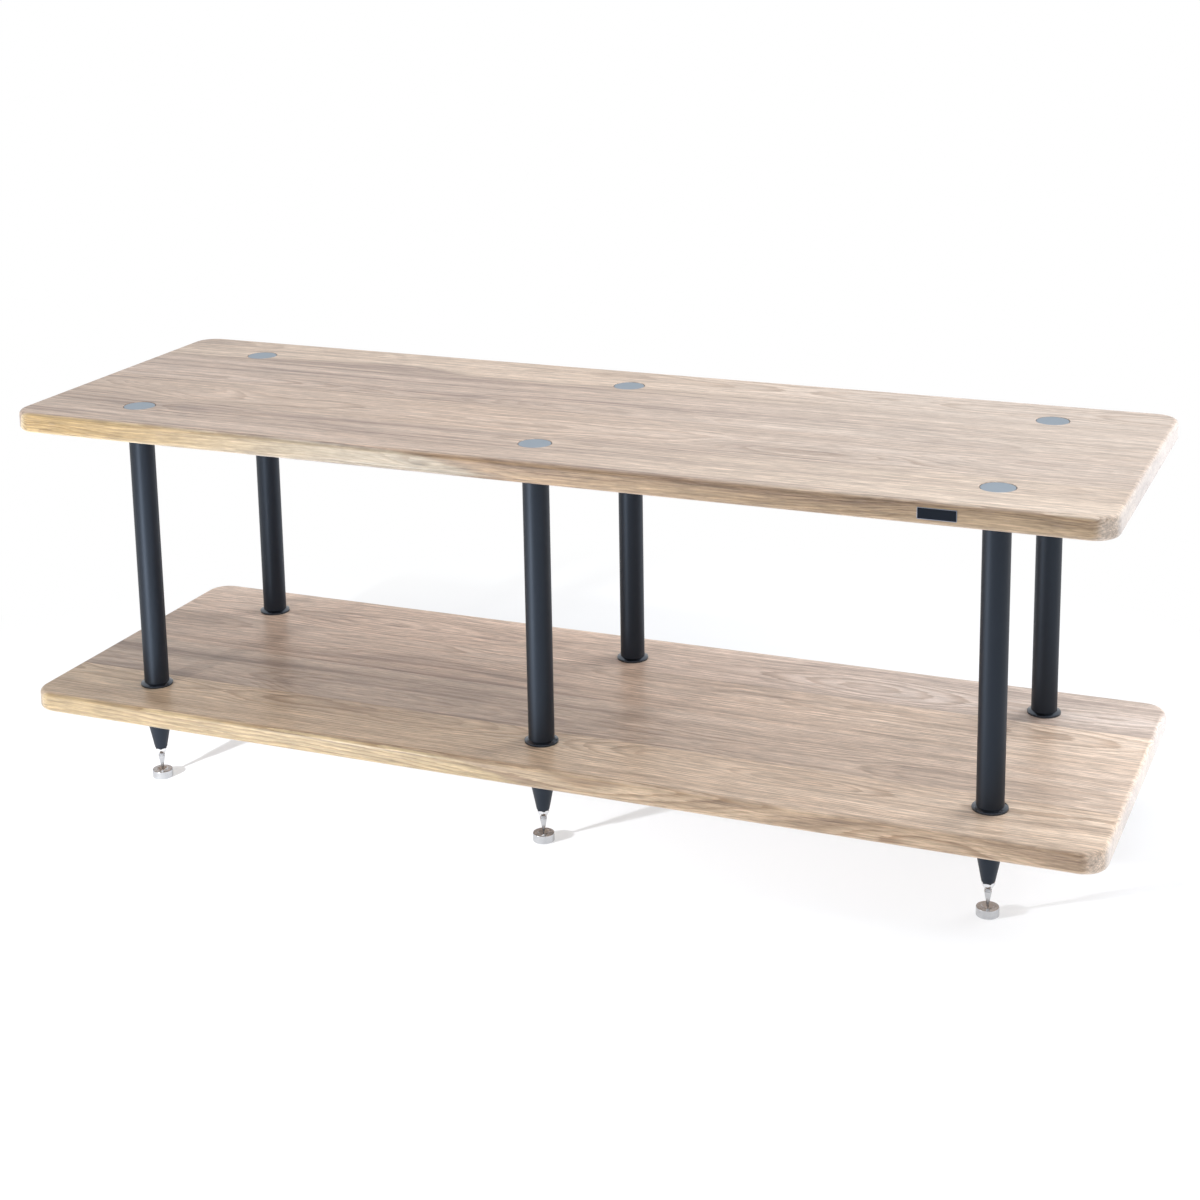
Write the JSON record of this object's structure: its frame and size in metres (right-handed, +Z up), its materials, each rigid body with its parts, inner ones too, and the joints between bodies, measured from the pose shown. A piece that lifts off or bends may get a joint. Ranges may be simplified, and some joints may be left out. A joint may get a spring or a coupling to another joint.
{
  "type": "turntable shelf",
  "caption": "Low two-shelf equipment rack: rounded wood boards on black steel columns, with adjustable spiked cone feet standing on floor discs.",
  "frame": {"origin": "on the floor, under the middle of the boards", "axes": "+X along the boards to the rack's right end as seen from the front, +Y from the front to the back, +Z up"},
  "size_m": [1.3, 0.43, 0.474],
  "materials": {
    "oiled_wood": "oiled, satin",
    "black_coat": "satin powder coat",
    "black_ring": "gloss coat",
    "silver_cap": "fine satin",
    "bright_nut": "polished",
    "bright_steel": "turned, bright",
    "plain_steel": "zinc plated"
  },
  "bodies": {
    "rack": {"base_ring_back_left": "black_ring", "base_ring_back_middle": "black_ring", "base_ring_back_right": "black_ring", "base_ring_front_left": "black_ring", "base_ring_front_middle": "black_ring", "base_ring_front_right": "black_ring", "column_tube_back_left": "black_coat", "column_tube_back_middle": "black_coat", "column_tube_back_right": "black_coat", "column_tube_front_left": "black_coat", "column_tube_front_middle": "black_coat", "column_tube_front_right": "black_coat", "cone_foot_back_left": "black_coat", "cone_foot_back_middle": "black_coat", "cone_foot_back_right": "black_coat", "cone_foot_front_left": "black_coat", "cone_foot_front_middle": "black_coat", "cone_foot_front_right": "black_coat", "connecting_studs": "plain_steel", "lower_board": "oiled_wood", "lower_plug_back_left": "plain_steel", "lower_plug_back_middle": "plain_steel", "lower_plug_back_right": "plain_steel", "lower_plug_front_left": "plain_steel", "lower_plug_front_middle": "plain_steel", "lower_plug_front_right": "plain_steel", "top_cap_back_left": "silver_cap", "top_cap_back_middle": "silver_cap", "top_cap_back_right": "silver_cap", "top_cap_front_left": "silver_cap", "top_cap_front_middle": "silver_cap", "top_cap_front_right": "silver_cap", "upper_board": "oiled_wood", "upper_plug_back_left": "plain_steel", "upper_plug_back_middle": "plain_steel", "upper_plug_back_right": "plain_steel", "upper_plug_front_left": "plain_steel", "upper_plug_front_middle": "plain_steel", "upper_plug_front_right": "plain_steel"},
    "front_left_disc": {"floor_disc_front_left": "bright_steel"},
    "front_left_spike": {"spike_front_left": "bright_steel"},
    "front_left_nut": {"lock_nut_front_left": "bright_nut"},
    "front_middle_disc": {"floor_disc_front_middle": "bright_steel"},
    "front_middle_spike": {"spike_front_middle": "bright_steel"},
    "front_middle_nut": {"lock_nut_front_middle": "bright_nut"},
    "front_right_disc": {"floor_disc_front_right": "bright_steel"},
    "front_right_spike": {"spike_front_right": "bright_steel"},
    "front_right_nut": {"lock_nut_front_right": "bright_nut"},
    "back_left_disc": {"floor_disc_back_left": "bright_steel"},
    "back_left_spike": {"spike_back_left": "bright_steel"},
    "back_left_nut": {"lock_nut_back_left": "bright_nut"},
    "back_middle_disc": {"floor_disc_back_middle": "bright_steel"},
    "back_middle_spike": {"spike_back_middle": "bright_steel"},
    "back_middle_nut": {"lock_nut_back_middle": "bright_nut"},
    "back_right_disc": {"floor_disc_back_right": "bright_steel"},
    "back_right_spike": {"spike_back_right": "bright_steel"},
    "back_right_nut": {"lock_nut_back_right": "bright_nut"}
  },
  "joints": [
    {"name": "front_left_height", "type": "slide", "parent": "rack", "child": "front_left_disc", "axis": [0, 0, -1], "range_m": [-0.004, 0.01]},
    {"name": "front_left_spike_turn", "type": "hinge", "parent": "front_left_disc", "child": "front_left_spike", "pos_m": [-0.517, -0.141, 0.04], "axis": [0, 0, -1], "range_deg": [-1160, 2890]},
    {"name": "front_left_nut_turn", "type": "hinge", "parent": "rack", "child": "front_left_nut", "pos_m": [-0.517, -0.141, 0.0345], "axis": [0, 0, -1], "range_deg": [0, 180]},
    {"name": "front_middle_height", "type": "slide", "parent": "rack", "child": "front_middle_disc", "axis": [0, 0, -1], "range_m": [-0.004, 0.01]},
    {"name": "front_middle_spike_turn", "type": "hinge", "parent": "front_middle_disc", "child": "front_middle_spike", "pos_m": [0, -0.141, 0.04], "axis": [0, 0, -1], "range_deg": [-1160, 2890]},
    {"name": "front_middle_nut_turn", "type": "hinge", "parent": "rack", "child": "front_middle_nut", "pos_m": [0, -0.141, 0.0345], "axis": [0, 0, -1], "range_deg": [0, 180]},
    {"name": "front_right_height", "type": "slide", "parent": "rack", "child": "front_right_disc", "axis": [0, 0, -1], "range_m": [-0.004, 0.01]},
    {"name": "front_right_spike_turn", "type": "hinge", "parent": "front_right_disc", "child": "front_right_spike", "pos_m": [0.517, -0.141, 0.04], "axis": [0, 0, -1], "range_deg": [-1160, 2890]},
    {"name": "front_right_nut_turn", "type": "hinge", "parent": "rack", "child": "front_right_nut", "pos_m": [0.517, -0.141, 0.0345], "axis": [0, 0, -1], "range_deg": [0, 180]},
    {"name": "back_left_height", "type": "slide", "parent": "rack", "child": "back_left_disc", "axis": [0, 0, -1], "range_m": [-0.004, 0.01]},
    {"name": "back_left_spike_turn", "type": "hinge", "parent": "back_left_disc", "child": "back_left_spike", "pos_m": [-0.517, 0.141, 0.04], "axis": [0, 0, -1], "range_deg": [-1160, 2890]},
    {"name": "back_left_nut_turn", "type": "hinge", "parent": "rack", "child": "back_left_nut", "pos_m": [-0.517, 0.141, 0.0345], "axis": [0, 0, -1], "range_deg": [0, 180]},
    {"name": "back_middle_height", "type": "slide", "parent": "rack", "child": "back_middle_disc", "axis": [0, 0, -1], "range_m": [-0.004, 0.01]},
    {"name": "back_middle_spike_turn", "type": "hinge", "parent": "back_middle_disc", "child": "back_middle_spike", "pos_m": [0, 0.141, 0.04], "axis": [0, 0, -1], "range_deg": [-1160, 2890]},
    {"name": "back_middle_nut_turn", "type": "hinge", "parent": "rack", "child": "back_middle_nut", "pos_m": [0, 0.141, 0.0345], "axis": [0, 0, -1], "range_deg": [0, 180]},
    {"name": "back_right_height", "type": "slide", "parent": "rack", "child": "back_right_disc", "axis": [0, 0, -1], "range_m": [-0.004, 0.01]},
    {"name": "back_right_spike_turn", "type": "hinge", "parent": "back_right_disc", "child": "back_right_spike", "pos_m": [0.517, 0.141, 0.04], "axis": [0, 0, -1], "range_deg": [-1160, 2890]},
    {"name": "back_right_nut_turn", "type": "hinge", "parent": "rack", "child": "back_right_nut", "pos_m": [0.517, 0.141, 0.0345], "axis": [0, 0, -1], "range_deg": [0, 180]}
  ],
  "couplings": [
    {"joint": "front_left_spike_turn", "follows": "front_left_height", "rad_per_m": 5026.5},
    {"joint": "front_middle_spike_turn", "follows": "front_middle_height", "rad_per_m": 5026.5},
    {"joint": "front_right_spike_turn", "follows": "front_right_height", "rad_per_m": 5026.5},
    {"joint": "back_left_spike_turn", "follows": "back_left_height", "rad_per_m": 5026.5},
    {"joint": "back_middle_spike_turn", "follows": "back_middle_height", "rad_per_m": 5026.5},
    {"joint": "back_right_spike_turn", "follows": "back_right_height", "rad_per_m": 5026.5}
  ]
}
